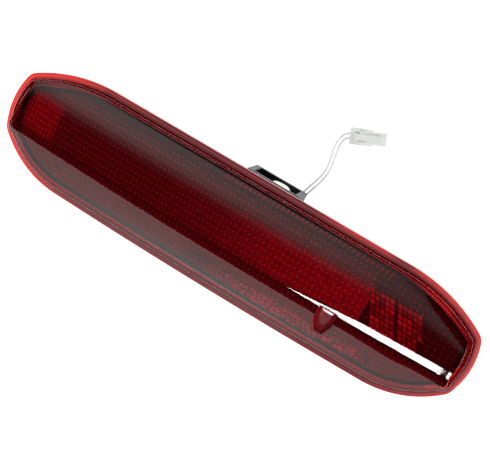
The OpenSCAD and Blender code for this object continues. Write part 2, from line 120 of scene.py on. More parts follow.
# materials
def mouldedMaterial(name, spec):
    m, tree = newMaterial(name)
    place = addNode(tree, "ShaderNodeTexCoord")
    grain = addNode(tree, "ShaderNodeTexNoise", {"Vector": place.outputs["Object"],
                                                 "Scale": 1 / (spec["grain"] * mm),
                                                 "Detail": 3.0, "Roughness": 0.6})
    cloud = addNode(tree, "ShaderNodeTexNoise", {"Vector": place.outputs["Object"],
                                                 "Scale": 1 / (spec["cloud"] * mm), "Detail": 2.0})
    tone = addNode(tree, "ShaderNodeMix", {"Factor": cloud.outputs["Fac"], "A": toLinear(spec["dark"]),
                                           "B": toLinear(spec["light"])}, data_type="RGBA")
    rough = addNode(tree, "ShaderNodeMapRange", {"Value": grain.outputs["Fac"],
                                                 "From Min": 0.3, "From Max": 0.7,
                                                 "To Min": spec["rough"] - spec["roughSpread"],
                                                 "To Max": spec["rough"] + spec["roughSpread"]})
    bump = addNode(tree, "ShaderNodeBump", {"Height": grain.outputs["Fac"], "Strength": spec["bump"],
                                            "Distance": spec["grain"] * mm * 0.3})
    body = addNode(tree, "ShaderNodeBsdfPrincipled", {"Base Color": tone.outputs["Result"],
                                                      "Roughness": rough.outputs["Result"],
                                                      "Normal": bump.outputs["Normal"]})
    body.inputs["IOR"].default_value = spec.get("ior", 1.5)
    body.inputs["Metallic"].default_value = spec.get("metal", 0.0)
    if spec.get("paintedGlow"):  # painted glow: emission in the plastic's own tone, standing in for light scattered up through the milky plastic
        tree.links.new(tone.outputs["Result"], body.inputs["Emission Color"])
        body.inputs["Emission Strength"].default_value = spec["paintedGlow"]
    addNode(tree, "ShaderNodeOutputMaterial", {"Surface": body.outputs["BSDF"]})
    return m


finishes = {  # grain and cloud are the sizes of the fine and the broad pattern, in millimetres
    # ABS tray, moulded against a fine spark-eroded texture: even satin black
    "blackAbs": {"dark": "#141416", "light": "#1c1c1e", "grain": 0.5, "cloud": 30, "rough": 0.48,
                 "roughSpread": 0.08, "bump": 0.25, "ior": 1.53},
    # glass-filled nylon bracket, moulded: dull grey bloom over black
    "greyNylon": {"dark": "#4c4f51", "light": "#5e6163", "grain": 0.7, "cloud": 12, "rough": 0.5,
                  "roughSpread": 0.08, "bump": 0.3, "ior": 1.53},
    # the same nylon, black: the own colour of the bulb holders, and painted shade in the deep pockets of the
    # bracket and on the contour strip
    "blackNylonAndShade": {"dark": "#0c0c0d", "light": "#131314", "grain": 0.7, "cloud": 12, "rough": 0.55,
                   "roughSpread": 0.08, "bump": 0.3, "ior": 1.53},
    # unfilled nylon clip, moulded: white, slightly waxy, with a painted glow standing in for the light that
    # goes a little way in
    "whiteNylon": {"dark": "#dfe0da", "light": "#eceee9", "grain": 0.6, "cloud": 8, "rough": 0.36,
                   "roughSpread": 0.05, "bump": 0.12, "ior": 1.53, "paintedGlow": 0.3},
    # natural nylon connector shell, moulded: milky and a touch green-grey
    "naturalNylon": {"dark": "#e6e8e6", "light": "#f2f4f2", "grain": 0.5, "cloud": 6, "rough": 0.3,
                     "roughSpread": 0.05, "bump": 0.1, "ior": 1.53},
    # PVC wire insulation, extruded: smooth white with a soft shine and a faint painted glow
    "whitePvc": {"dark": "#dfe1e0", "light": "#eaecec", "grain": 0.4, "cloud": 14, "rough": 0.34,
                 "roughSpread": 0.04, "bump": 0.05, "ior": 1.53, "paintedGlow": 0.15},
    # closed-cell EPDM foam, die cut: matt, with cut cells just under a millimetre across
    "epdmFoam": {"dark": "#17171a", "light": "#26262a", "grain": 0.9, "cloud": 5, "rough": 0.92,
                 "roughSpread": 0.05, "bump": 0.9, "ior": 1.45},
    # moulded EPDM seals: dull black
    "epdmRubber": {"dark": "#151516", "light": "#1f1f20", "grain": 0.4, "cloud": 9, "rough": 0.7,
                   "roughSpread": 0.06, "bump": 0.3, "ior": 1.5},
    # silicone wire seals, moulded: brick red, satin
    "redSilicone": {"dark": "#9c3226", "light": "#b5402f", "grain": 0.3, "cloud": 3, "rough": 0.5,
                    "roughSpread": 0.06, "bump": 0.15, "ior": 1.42},
    # hot-melt adhesive bead, extruded in place: dark and slightly wavy
    "hotMelt": {"dark": "#26211d", "light": "#352e28", "grain": 1.6, "cloud": 7, "rough": 0.42,
                "roughSpread": 0.1, "bump": 0.5, "ior": 1.48},
    # zinc-plated steel, turned and plated: pale blue-grey metal with a fine even grain
    "zincSteel": {"dark": "#a9adb0", "light": "#c6cacc", "grain": 0.25, "cloud": 4, "rough": 0.34,
                  "roughSpread": 0.08, "bump": 0.2, "metal": 1.0},
    # rolled brass strip, stamped: warm yellow, slightly uneven
    "rolledBrass": {"dark": "#b08d45", "light": "#cfae62", "grain": 0.3, "cloud": 6, "rough": 0.3,
                    "roughSpread": 0.08, "bump": 0.12, "metal": 1.0},
    # vacuum-metallised reflector: near mirror with a slight haze
    "vacuumAluminium": {"dark": "#c4c6c8", "light": "#dcdee0", "grain": 0.8, "cloud": 10, "rough": 0.16,
                        "roughSpread": 0.05, "bump": 0.08, "metal": 1.0},
    # drawn tungsten filament: dark grey metal
    "drawnTungsten": {"dark": "#4d4b49", "light": "#63605d", "grain": 0.1, "cloud": 1, "rough": 0.4,
                      "roughSpread": 0.05, "bump": 0.1, "metal": 1.0},
    # red PMMA optic plate, moulded: deep translucent red, read as a solid colour under the lens
    "redPlate": {"dark": "#5c0a0e", "light": "#7a0d12", "grain": 0.6, "cloud": 20, "rough": 0.2,
                 "roughSpread": 0.04, "bump": 0.1, "ior": 1.49},
}
made = {name: mouldedMaterial(name, spec) for name, spec in finishes.items()}


def lensSkinMaterial(spec):
    # red PMMA outer lens, injection moulded and polished: clear tint with a sharp gloss on top
    m, tree = newMaterial("redPmmaSkin")
    place = addNode(tree, "ShaderNodeTexCoord")
    haze = addNode(tree, "ShaderNodeTexNoise", {"Vector": place.outputs["Object"],
                                                "Scale": 1 / (spec["haze"] * mm), "Detail": 2.0})
    rough = addNode(tree, "ShaderNodeMapRange", {"Value": haze.outputs["Fac"], "To Min": spec["rough"] * 0.7,
                                                 "To Max": spec["rough"] * 1.3})
    clear = addNode(tree, "ShaderNodeBsdfTransparent", {"Color": toLinear(spec["tint"])})
    gloss = addNode(tree, "ShaderNodeBsdfPrincipled", {"Base Color": (1, 1, 1, 1), "Metallic": 1.0,
                                                       "Roughness": rough.outputs["Result"]})
    share = addNode(tree, "ShaderNodeFresnel", {"IOR": spec["ior"]})
    both = addNode(tree, "ShaderNodeMixShader", {0: share.outputs["Fac"], 1: clear.outputs["BSDF"],
                                                 2: gloss.outputs["BSDF"]})
    addNode(tree, "ShaderNodeOutputMaterial", {"Surface": both.outputs["Shader"]})
    return m


def glowingRedMaterial(name, spec):
    # moulded red PMMA with painted light: the glow value of each face runs from dark to bright red, in colour
    # and in emission, standing in for light coming through the plastic
    m, tree = newMaterial(name)
    place = addNode(tree, "ShaderNodeTexCoord")
    level = addNode(tree, "ShaderNodeAttribute", {}, attribute_name="glow")
    mottle = addNode(tree, "ShaderNodeTexNoise", {"Vector": place.outputs["Object"],
                                                  "Scale": 1 / (spec["mottle"] * mm), "Detail": 2.0})
    shade = addNode(tree, "ShaderNodeMath", {0: mottle.outputs["Fac"], 1: spec["mottleDepth"]},
                    operation="MULTIPLY")
    amount = addNode(tree, "ShaderNodeMath", {0: level.outputs["Fac"], 1: shade.outputs["Value"]},
                     operation="ADD", use_clamp=True)
    colour = addNode(tree, "ShaderNodeMix", {"Factor": amount.outputs["Value"], "A": toLinear(spec["dark"]),
                                             "B": toLinear(spec["bright"])}, data_type="RGBA")
    bump = addNode(tree, "ShaderNodeBump", {"Height": mottle.outputs["Fac"], "Strength": 0.15,
                                            "Distance": 0.1 * mm})
    body = addNode(tree, "ShaderNodeBsdfPrincipled", {"Base Color": colour.outputs["Result"],
                                                      "Roughness": spec["rough"],
                                                      "Normal": bump.outputs["Normal"],
                                                      "Emission Color": colour.outputs["Result"]})
    body.inputs["Emission Strength"].default_value = spec["shine"]
    body.inputs["IOR"].default_value = 1.49
    body.inputs["Specular IOR Level"].default_value = spec["specular"]
    addNode(tree, "ShaderNodeOutputMaterial", {"Surface": body.outputs["BSDF"]})
    return m


def clearGlassMaterial():
    # blown soda-lime bulb glass: clear, faintly wavy, seen by its highlights
    m, tree = newMaterial("clearBulbGlass")
    place = addNode(tree, "ShaderNodeTexCoord")
    wave = addNode(tree, "ShaderNodeTexNoise", {"Vector": place.outputs["Object"], "Scale": 1 / (5 * mm)})
    bump = addNode(tree, "ShaderNodeBump", {"Height": wave.outputs["Fac"], "Strength": 0.05,
                                            "Distance": 0.2 * mm})
    glass = addNode(tree, "ShaderNodeBsdfPrincipled", {"Base Color": (1, 1, 1, 1), "Roughness": 0.03,
                                                       "Normal": bump.outputs["Normal"]})
    glass.inputs["Transmission Weight"].default_value = 1.0
    glass.inputs["IOR"].default_value = 1.52
    addNode(tree, "ShaderNodeOutputMaterial", {"Surface": glass.outputs["BSDF"]})
    return m


made["bulbGlass"] = clearGlassMaterial()
skinSpec = {"tint": "#ffb4bc", "ior": 1.49, "rough": 0.045, "haze": 18}
made["skin"] = lensSkinMaterial(skinSpec)
made["rim"] = glowingRedMaterial("redPmmaRim", {"dark": "#5a1018", "bright": "#ff2a20", "mottle": 9,
                                               "mottleDepth": 0.06, "rough": 0.12, "shine": 0.12,
                                               "specular": 0.5})
made["optic"] = glowingRedMaterial("redPmmaOptic", {"dark": "#200a0e", "bright": "#ff2440", "mottle": 2.2,
                                                   "mottleDepth": 0.03, "rough": 0.35, "shine": 0.25,
                                                   "specular": 0.0})
made["flute"] = glowingRedMaterial("redPmmaFlute", {"dark": "#22060a", "bright": "#e01c28", "mottle": 6,
                                                   "mottleDepth": 0.05, "rough": 0.3, "shine": 0.1,
                                                   "specular": 0.0})
print("materials made")


# lead: two single wires, laid as in the frame
lead = {"diameter": 1.8, "liveExit": (14.6, -6, 24), "earthExit": (17.4, -6, 24),
        "live": [(14.6, -6, 24), (14.6, -6, 17), (14.7, -5.4, 11), (15, -3.2, 6.4), (15.5, 0.8, 3),
                 (16.4, 6, 1.3),
                 (17.6, 12, 1), (19, 20, 1), (20.6, 28, 1), (22.4, 35, 1), (24.4, 41.2, 1), (26.4, 46.9, 1),
                 (28.4, 52.3, 1), (29.8, 57.8, 1), (29.9, 63.2, 1), (28.8, 69.8, 1), (27.4, 76.4, 1),
                 (27.4, 81.6, 1.2), (28.8, 86.4, 2), (31.8, 89.4, 3.2), (34.2, 90.6, 3.6), (37, 91.7, 3.7)],
        "earth": [(17.4, -6, 24), (17.4, -6, 17), (17.5, -5.4, 11), (17.8, -3.2, 6.4), (18.3, 0.8, 3),
                  (19.2, 5.8, 1.3), (20.2, 11.6, 1), (21.6, 19.6, 1), (23.2, 27.6, 1), (25, 34.4, 1),
                  (26.8, 40.2, 1), (28.8, 45.9, 1), (30.8, 51.3, 1), (32.2, 57.4, 1), (32.3, 63.8, 1),
                  (31.2, 70.6, 1), (30.1, 76.6, 1), (30, 80.8, 1.2), (31, 84.4, 2), (33.4, 86.9, 3.2),
                  (35.4, 87.8, 3.6), (38.2, 88.9, 3.7)]}


for side in ("live", "earth"):
    wire = curvePiece("wire" + side.capitalize(), lead[side], lead["diameter"] / 2, "lamp",
                      made["whitePvc"])
    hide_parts("wire_" + side)


# outline of the lens
lens = {"length": 350, "creaseToTop": 55, "creaseToBottom": 28.4, "topTaper": 110, "bottomTaper": 73,
        "endCorner": 10, "creaseHeight": 15.5, "creaseDrop": 11, "shoulder": 4.5, "crown": 1.6,
        "flange": 3, "flangeWidth": 4, "rimLevel": 38, "bow": 1.4, "endBow": 2.5, "facetEdge": 5.4,
        "bevelWide": 4.8, "facetDrop": 0.95, "bevelSlope": 0.1, "topTaperRun": 64, "bottomTaperRun": 57,
        "spineShort": 9.1, "shoulderPast": 3.5, "roomFor": 9.12}
halfL = lens["length"] / 2
creaseY = (lens["creaseToBottom"] - lens["creaseToTop"]) / 2
topStraight, bottomStraight = halfL - lens["topTaperRun"], halfL - lens["bottomTaperRun"]
cornerX = halfL - lens["endBow"] - lens["endCorner"]
spineEnd = halfL - lens["spineShort"]
shoulderIn = lens["flangeWidth"] + lens["shoulderPast"]
shoulderZ = lens["flange"] + lens["shoulder"]


def edgeAt(x, r, edge, straight):
    ax, corner = min(abs(x), halfL - lens["endBow"]), lens["endCorner"]
    join = straight + (cornerX - straight) * r / (r - corner)
    if ax <= straight:
        return edge
    if ax <= join:
        return edge - (r - math.sqrt(max(0, r * r - (ax - straight) ** 2)))
    mid = edge - r + math.sqrt((r - corner) ** 2 - (cornerX - straight) ** 2)
    return mid + math.sqrt(max(0, corner ** 2 - (ax - cornerX) ** 2))


def topY(x):
    return edgeAt(x, lens["topTaper"], lens["creaseToTop"], topStraight)


def bottomY(x):
    bow = lens["bow"]
    return (-edgeAt(x, lens["bottomTaper"], lens["creaseToBottom"] - bow, bottomStraight)
            - bow * max(0, 1 - (x / bottomStraight) ** 2))


stations = 150
middleXs = [-spineEnd + 2 * spineEnd * k / stations for k in range(stations + 1)]
cornerXs = [cornerX + lens["endCorner"] * math.sin(math.radians(a)) for a in range(4, 70, 5)]
endX = cornerXs[-1]
endMid = [(halfL - (halfL - endX) * t * t, ((1 - t) * topY(endX) + (1 + t) * bottomY(endX)) / 2)
          for t in np.linspace(-0.9, 0.9, 13)]
rightEnd = ([(x, topY(x)) for x in cornerXs if x > spineEnd] + endMid
            + [(x, bottomY(x)) for x in reversed(cornerXs) if x > spineEnd])
leftEnd = [(-x, y) for x, y in reversed(rightEnd)]
rimLoop = np.array([(x, topY(x)) for x in middleXs] + rightEnd + [(x, bottomY(x)) for x in reversed(middleXs)]
                   + leftEnd)
rimCount = len(rimLoop)
along = np.roll(rimLoop, -1, 0) - np.roll(rimLoop, 1, 0)
along /= np.linalg.norm(along, axis=1)[:, None]
inward = np.stack([along[:, 1], -along[:, 0]], 1)
spineX = np.clip(rimLoop[:, 0], -spineEnd, spineEnd)
upper = rimLoop[:, 1] > 0
share = np.clip(rimLoop[:, 1] / 20, 0, 1)
roomIn = np.minimum(1, np.hypot(rimLoop[:, 0] - spineX, rimLoop[:, 1]) / lens["roomFor"])


def creaseZ(x):
    return lens["flange"] + lens["creaseHeight"] - lens["creaseDrop"] * (np.asarray(x) / halfL) ** 2


def bevelWidth(x):
    return np.interp(x, [-180, 50, 56, 72, 104, 140, 180], [0, 0.0, 0.7, 1.9, 4.35, lens["bevelWide"],
                                                              lens["bevelWide"]])


def lowerCrown(x):
    # the lower face flattens towards its ends
    return np.clip((creaseZ(x) - 9.5) / 8, 0.1, 1)


def insetRing(s, z):
    flat = rimLoop + inward * (s * roomIn)[:, None]
    return np.column_stack([flat, np.full(rimCount, float(z))])


def faceRing(v, sink=0.0, inset=shoulderIn):
    start = rimLoop + inward * (inset * roomIn)[:, None]
    endY = np.where(upper, (lens["facetEdge"] + bevelWidth(spineX)) * share, -0.3)
    endZ = creaseZ(spineX) - np.where(upper, lens["facetDrop"] - lens["bevelSlope"] * bevelWidth(spineX), 0.15)
    crown = lens["crown"] * 4 * v * (1 - v) * np.where(upper, 1, lowerCrown(spineX))
    return np.column_stack([start[:, 0] + (spineX - start[:, 0]) * v, start[:, 1] + (endY - start[:, 1]) * v,
                            shoulderZ + (endZ - shoulderZ) * v + crown - sink])


def ridgeRings(sink=0.0):
    low = np.column_stack([spineX, np.where(upper, lens["facetEdge"] * share, -0.2),
                           creaseZ(spineX) - np.where(upper, lens["facetDrop"], 0.1) - sink])
    nearTop = np.column_stack([spineX, np.where(upper, 1.1 * share, 0.0),
                               creaseZ(spineX) - np.where(upper, 0.07, 0.03) - sink])
    top = np.column_stack([spineX, np.full(rimCount, 0.5), creaseZ(spineX) - sink])
    return [low, nearTop, top]


def ringFaces(rings, side=None):
    picked = [i for i in range(rimCount) if side is None or side == (upper[i] or upper[(i + 1) % rimCount])]
    return [((j + 1) * rimCount + i, (j + 1) * rimCount + (i + 1) % rimCount, j * rimCount + (i + 1) % rimCount,
             j * rimCount + i) for j in range(len(rings) - 1) for i in picked]


def raised(points):
    return np.asarray(points) + np.array([0, creaseY, lens["rimLevel"]])


def faceHeight(x, y):
    # the crowned upper face carried on past its own edges, smooth enough to mirror with
    cz, edge = float(creaseZ(min(abs(x), spineEnd))), lens["facetEdge"] + float(bevelWidth(x))
    far = topY(x) - shoulderIn
    endZ = cz - lens["facetDrop"] + lens["bevelSlope"] * (edge - lens["facetEdge"])
    v = (far - y) / max(1, far - edge)
    return shoulderZ + (endZ - shoulderZ) * v + lens["crown"] * 4 * v * (1 - v)


def skinHeight(x, y):
    cz = float(creaseZ(min(abs(x), spineEnd)))
    if y >= 0:
        edge = lens["facetEdge"] + float(bevelWidth(x))
        if y <= lens["facetEdge"]:
            return cz - lens["facetDrop"] * y / lens["facetEdge"]
        if y <= edge:
            return cz - lens["facetDrop"] + lens["bevelSlope"] * (y - lens["facetEdge"])
        far = topY(x) - shoulderIn
        endZ = cz - lens["facetDrop"] + lens["bevelSlope"] * (edge - lens["facetEdge"])
        v = (far - y) / max(1, far - edge)
    else:
        far, endZ = bottomY(x) + shoulderIn, cz - 0.15
        v = (y - far) / max(1, -far)
    v = min(1, max(0, v))
    crown = lens["crown"] * (1 if y >= 0 else float(lowerCrown(x)))
    return shoulderZ + (endZ - shoulderZ) * v + crown * 4 * v * (1 - v)


def rimDistance(x, y):
    return float(np.min(np.hypot(rimLoop[:, 0] - x, rimLoop[:, 1] - y)))


def smoothStep(a, b, x):
    t = min(1, max(0, (x - a) / (b - a)))
    return t * t * (3 - 2 * t)


# outer lens: flange and rim glow red with painted light, the skin above is clear with a hard gloss
flangeRings = [insetRing(4.4, 0.0), insetRing(0.0, 0.0), insetRing(0.0, 2.5), insetRing(0.15, 2.85),
               insetRing(0.5, 3.0), insetRing(1.2, 3.0), insetRing(2.0, 3.0), insetRing(3.0, 3.0),
               insetRing(3.7, 3.02), insetRing(4.1, 3.3)]
skinRings = [insetRing(4.1, 3.3), insetRing(4.25, 4.2), insetRing(4.5, 5.6), insetRing(4.9, 6.6),
             insetRing(5.6, 7.15), insetRing(6.5, 7.4)]
skinRings += [faceRing(v) for v in (0, 0.02, 0.05, 0.1, 0.16, 0.23, 0.3, 0.38, 0.46, 0.54, 0.62, 0.7, 0.78,
                                    0.85, 0.91, 0.96, 0.985, 1.0)]
skinRings += ridgeRings()

# painted light: how brightly the rim glows is set along the outline, brightest at the ends, and fades inward
rimGlow = []
for x, y in rimLoop:
    if y > 0:
        level = np.interp(x, [-175, -140, -118, -70, 40, 62, 92, 100, 108, 118, 175],
                          [0.9, 0.7, 0.3, 0.07, 0.06, 0.45, 0.45, 0.1, 0.1, 0.6, 0.7])
    else:
        level = np.interp(x, [-175, -150, -120, -90, -30, 60, 120, 150, 175],
                          [0.95, 0.7, 0.3, 0.1, 0.08, 0.08, 0.1, 0.3, 0.5])
    rimGlow.append(float(level))
inwardFade = ((1, 1, 1, 1, 1, 1, 0.8, 0.5, 0.3), (1, 1, 1, 1, 1, 0.6, 0.15, 0.1, 0.1))  # left end, elsewhere
flangeGlow = [rimGlow[i] * inwardFade[int(rimLoop[i][0] > -120)][j] for j in range(len(flangeRings) - 1)
              for i in range(rimCount)]
lensRim = meshPiece("lensRim", raised(np.concatenate(flangeRings)), ringFaces(flangeRings), "lamp",
                    [made["rim"]], glow=flangeGlow)
skinParts = {}
for name, rings, side in (("lensUpper", skinRings[:-3], True), ("lensLower", skinRings[:-3], False),
                          ("lensBevel", skinRings[-4:-2], None), ("lensRidge", skinRings[-3:], None)):
    skinParts[name] = meshPiece(name, raised(np.concatenate(rings)), ringFaces(rings, side), "lamp",
                                [made["skin"]])
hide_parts("outer_lens")
print("lens skin", len(skinParts))


# light and floor
studio = {"world": "#101010", "floorHex": "#f6f6f6", "floorGlow": 0.75, "floorReach": 40, "floorLevel": -0.0002,
          "over": {"at": (0.2, -0.1, 1.3), "size": (1.4, 1.0), "aim": (0.0, 0.0, 0.0), "power": 14.0},
          "fill": {"at": (0.9, 0.9, 0.9), "size": (0.9, 0.9), "aim": (0.0, 0.0, 0.05), "power": 7.0},
          "side": {"at": (-0.3, -1.3, 0.7), "size": (1.6, 0.9), "aim": (0.0, 0.0, 0.05), "power": 9.0}}
world = bpy.data.worlds.new("studioWorld")
scene.world = world
world.use_nodes = True
world.node_tree.nodes["Background"].inputs["Color"].default_value = toLinear(studio["world"])
for name in ("over", "fill", "side"):
    spec = studio[name]
    light = bpy.data.lights.new(name, "AREA")
    light.shape, light.size, light.size_y, light.energy = "RECTANGLE", *spec["size"], spec["power"]
    lamp = bpy.data.objects.new(name, light)
    scene.collection.objects.link(lamp)
    lamp.location = spec["at"]
    lamp.rotation_euler = (Vector(spec["aim"]) - Vector(spec["at"])).to_track_quat("-Z", "Y").to_euler()
    lamp.visible_camera = lamp.visible_glossy = False


def normalOf(height, x, y, shift=0.5):
    h = [height(x + dx, y + dy) for dx, dy in ((shift, 0), (-shift, 0), (0, shift), (0, -shift))]
    return Vector((h[1] - h[0], h[3] - h[2], 2 * shift)).normalized()


def cardMaterial():
    # a lit paper card: only its reflection in the lens shows
    m, tree = newMaterial("lightCard")
    level = addNode(tree, "ShaderNodeAttribute", {}, attribute_name="level")
    shine = addNode(tree, "ShaderNodeEmission", {"Color": (1, 1, 1, 1), "Strength": level.outputs["Fac"]})
    addNode(tree, "ShaderNodeOutputMaterial", {"Surface": shine.outputs["Emission"]})
    return m


cardPaper = cardMaterial()
lit = {}  # each card lights only the polished surfaces that mirror it
for name, pieces in (("upper", (skinParts["lensUpper"], lensRim)),
                     ("lower", (skinParts["lensLower"], lensRim)), ("bevel", (skinParts["lensBevel"],))):
    lit[name] = bpy.data.collections.new(name + "Lit")
    for piece in pieces:
        lit[name].objects.link(piece)


def lightCard(name, points, across, levels, receivers):
    rows = len(points) // across
    faces = [(r * across + c, r * across + c + 1, (r + 1) * across + c + 1, (r + 1) * across + c)
             for r in range(rows - 1) for c in range(across - 1)]
    mesh = bpy.data.meshes.new(name)
    mesh.from_pydata([tuple(p) for p in points], [], faces)
    layer = mesh.attributes.new("level", "FLOAT", "POINT")
    layer.data.foreach_set("value", [float(v) for v in levels])
    mesh.materials.append(cardPaper)
    card = bpy.data.objects.new(name, mesh)
    scene.collection.objects.link(card)
    card.visible_camera = card.visible_diffuse = card.visible_shadow = card.visible_transmission = False
    card.light_linking.receiver_collection = receivers


def mirrored(x, y, height, ceiling):
    # where the sight line, mirrored by the lens at this place, meets a level ceiling
    normal = normalOf(height, x, y)
    start = Vector((x, y + creaseY, lens["rimLevel"] + height(x, y))) * mm
    ray = (start - Vector(view["at"]) * mm).normalized()
    ray = ray - 2 * ray.dot(normal) * normal
    return start + ray * ((ceiling - start.z) / ray.z)


cards = {"ceiling": 1.2, "xs": range(-156, 109, 12), "ys": (23, 25, 27, 29, 31, 33, 35, 37, 39, 43, 47, 52, 58),
         "fade": ((23, 27, 31, 35, 39), (0, 0.04, 0.33, 0.8, 1.0)),
         "along": ((-175, -108, 0, 60, 108, 144, 175), (1.35, 1.3, 1.02, 0.86, 0.6, 0.38, 0.3)),
         "strip": 26.0, "stripXs": (44, 60, 80, 100, 120, 140, 160, 182), "front": 1.45}
softPoints, softLevels = [], []
for y in cards["ys"]:
    row = [mirrored(x, y, faceHeight, cards["ceiling"]) for x in cards["xs"]]
    row = [row[0] + (row[0] - row[1]) * 3] + row + [row[-1] + (row[-1] - row[-2]) * 10]
    softPoints += row
    softLevels += [np.interp(y, *cards["fade"]) * np.interp(x, *cards["along"])
                   for x in (-175, *cards["xs"], 175)]
lightCard("softCard", softPoints, len(cards["xs"]) + 2, softLevels, lit["upper"])


def bevelHeight(x, y):
    cz = float(creaseZ(min(abs(x), spineEnd)))
    return cz - lens["facetDrop"] + lens["bevelSlope"] * (y - lens["facetEdge"])


stripPoints = []
for shift in (-0.2, 0.16):
    for x in cards["stripXs"]:
        stripPoints.append(mirrored(x, 7.5, bevelHeight, cards["ceiling"]) + Vector((0, shift, 0)))
lightCard("stripCard", stripPoints, len(cards["stripXs"]), [cards["strip"]] * len(stripPoints),
                      lit["bevel"])
lightCard("frontCard", [(-3, -1.25, 0.02), (3, -1.25, 0.02), (-3, -1.25, 7), (3, -1.25, 7)],
                      2, [cards["front"]] * 4, lit["lower"])


floorMaterial, tree = newMaterial("paperFloor")  # matt white paper sweep, very fine tooth
place = addNode(tree, "ShaderNodeTexCoord")
tooth = addNode(tree, "ShaderNodeTexNoise", {"Vector": place.outputs["Object"], "Scale": 2000.0})
toothBump = addNode(tree, "ShaderNodeBump", {"Height": tooth.outputs["Fac"], "Strength": 0.02,
                                             "Distance": 0.0001})
paper = addNode(tree, "ShaderNodeBsdfPrincipled", {"Base Color": toLinear(studio["floorHex"]), "Roughness": 0.9,
                                                   "Normal": toothBump.outputs["Normal"],
                                                   "Emission Color": (1, 1, 1, 1)})
paper.inputs["Emission Strength"].default_value = studio["floorGlow"]
addNode(tree, "ShaderNodeOutputMaterial", {"Surface": paper.outputs["BSDF"]})
floorMesh = bpy.data.meshes.new("floor")
reach, under = studio["floorReach"], studio["floorLevel"]
floorMesh.from_pydata([(-reach, -reach, under), (reach, -reach, under), (reach, reach, under),
                       (-reach, reach, under)], [], [(0, 1, 2, 3)])
floorMesh.materials.append(floorMaterial)
floor = bpy.data.objects.new("floor", floorMesh)
scene.collection.objects.link(floor)


# inner optics: a sheet kept dark as painted shade, pillow tiles, dots, flutes, all with painted glow
random.seed(7)
optic = {"rowPitch": 3.9, "dotRadius": 0.6, "sheetSink": 3.0, "step": 0.5}


def bandInset(x, y):
    # distance of the dark contour strip, painted shade of the gap, from the outline
    wide = [7.0, 8.0, 10.0, 9.0] if y > 0 else [8.6, 8.6, 8.8, 9.0]
    return float(np.interp(abs(x), [0, 110, 150, 175], wide))


bandIn = np.array([bandInset(x, y) for x, y in rimLoop])
jet = {"at": (81.0, 6.5), "plan": [(-6.5, 0), (6.5, 0), (6.5, -9.6), (3, -17.5), (-3, -17.5), (-6.5, -9.6)],
       "depth": 8.0, "wall": 1.4}


def jetPlan(grow):
    # the plan of the jet recess, offset outward
    ring = [Vector(p) for p in jet["plan"]]
    sides = [(b - a).normalized() for a, b in zip(ring, ring[1:] + ring[:1])]
    out = []
    for k, p in enumerate(ring):
        before, after = sides[k - 1], sides[k]
        na, nb = Vector((-before.y, before.x)), Vector((-after.y, after.x))
        push = (na + nb) / (1 + na.dot(nb))
        out.append((p.x + push.x * grow + jet["at"][0], p.y + push.y * grow + jet["at"][1]))
    return out


def inside(x, y, ring):
    return all((b[0] - a[0]) * (y - a[1]) - (b[1] - a[1]) * (x - a[0]) <= 0
               for a, b in zip(ring, ring[1:] + ring[:1]))


def cutJet(piece, grow):
    # score the sheet along the sides of the recess and lift the middle out
    ring = jetPlan(grow)
    work = bmesh.new()
    work.from_mesh(piece.data)
    for a, b in zip(ring, ring[1:] + ring[:1]):
        near = [f for f in work.faces if abs(f.calc_center_median().x / mm - jet["at"][0]) < 16
                and -20 < f.calc_center_median().y / mm - creaseY < 16]
        parts = near + list({e for f in near for e in f.edges}) + list({v for f in near for v in f.verts})
        bmesh.ops.bisect_plane(work, geom=parts, dist=1e-7, plane_co=(a[0] * mm, (a[1] + creaseY) * mm, 0),
                               plane_no=(-(b[1] - a[1]), b[0] - a[0], 0))
    middle = [f for f in work.faces if inside(f.calc_center_median().x / mm,
                                              f.calc_center_median().y / mm - creaseY, ring)]
    bmesh.ops.delete(work, geom=middle, context="FACES")
    bmesh.ops.delete(work, geom=[v for v in work.verts if not v.link_faces], context="VERTS")
    work.to_mesh(piece.data)
    work.free()


sheetRings = [insetRing(bandIn + 1.2, 3.6)]
sheetRings += [faceRing(v, optic["sheetSink"] + optic["step"], inset=bandIn + 3.0)
               for v in (0, 0.1, 0.25, 0.4, 0.55, 0.7, 0.85, 1)]
sheetRings += ridgeRings(3.6)
# painted light: the sheet glows faintly on its lower half only
sheet = meshPiece("opticSheet", raised(np.concatenate(sheetRings)), ringFaces(sheetRings), "lamp",
                  [made["optic"]], glow=[0.0 if up else 0.05 for _ in sheetRings[1:] for up in upper])
for piece in skinParts.values():
    cutJet(piece, 0.0)
cutJet(sheet, jet["wall"])


zones = {"centreRise": ((-110, -48, -12, 24, 60, 99), (0, 0.28, 0.4, 0.72, 0.88, 0.9)),
         "centreTo": 99, "centre": 0.15, "left": (-160, -136), "leftGlow": 0.14,
         "plain": 0.035, "low": 0.15, "blocks": 0.18, "blocksY": (5, 32), "blocksLeft": (110, 96),
         "blocksRight": (142.5, 137.5)}


def zoneGlow(x, y):
    # painted light: how brightly the optic is painted at a place, for the reflectors behind lighting it
    rise = smoothStep(3, 8, y) * (1 - smoothStep(29, 35, y))
    centre = (zones["centre"] * float(np.interp(x, *zones["centreRise"]))
              * (1 if x < zones["centreTo"] else 0) * rise)
    left = zones["leftGlow"] * smoothStep(zones["left"][0] - 6, zones["left"][0] + 4, x) * (
        1 - smoothStep(zones["left"][1] - 3, zones["left"][1] + 3, x)) * smoothStep(0, 8, y) * (
        1 - smoothStep(26, 36, y))
    plain = zones["plain"] * smoothStep(-172, -150, x) * (1 - smoothStep(95, 99, x)) * smoothStep(0, 6, y) * (
        1 - smoothStep(36, 44, y))
    low = zones["low"] * smoothStep(-30, 40, x) * (1 - smoothStep(108, 118, x)) * smoothStep(-24, -18, y) * (
        1 - smoothStep(-12, -4, y))
    return max(centre, left, plain, low)


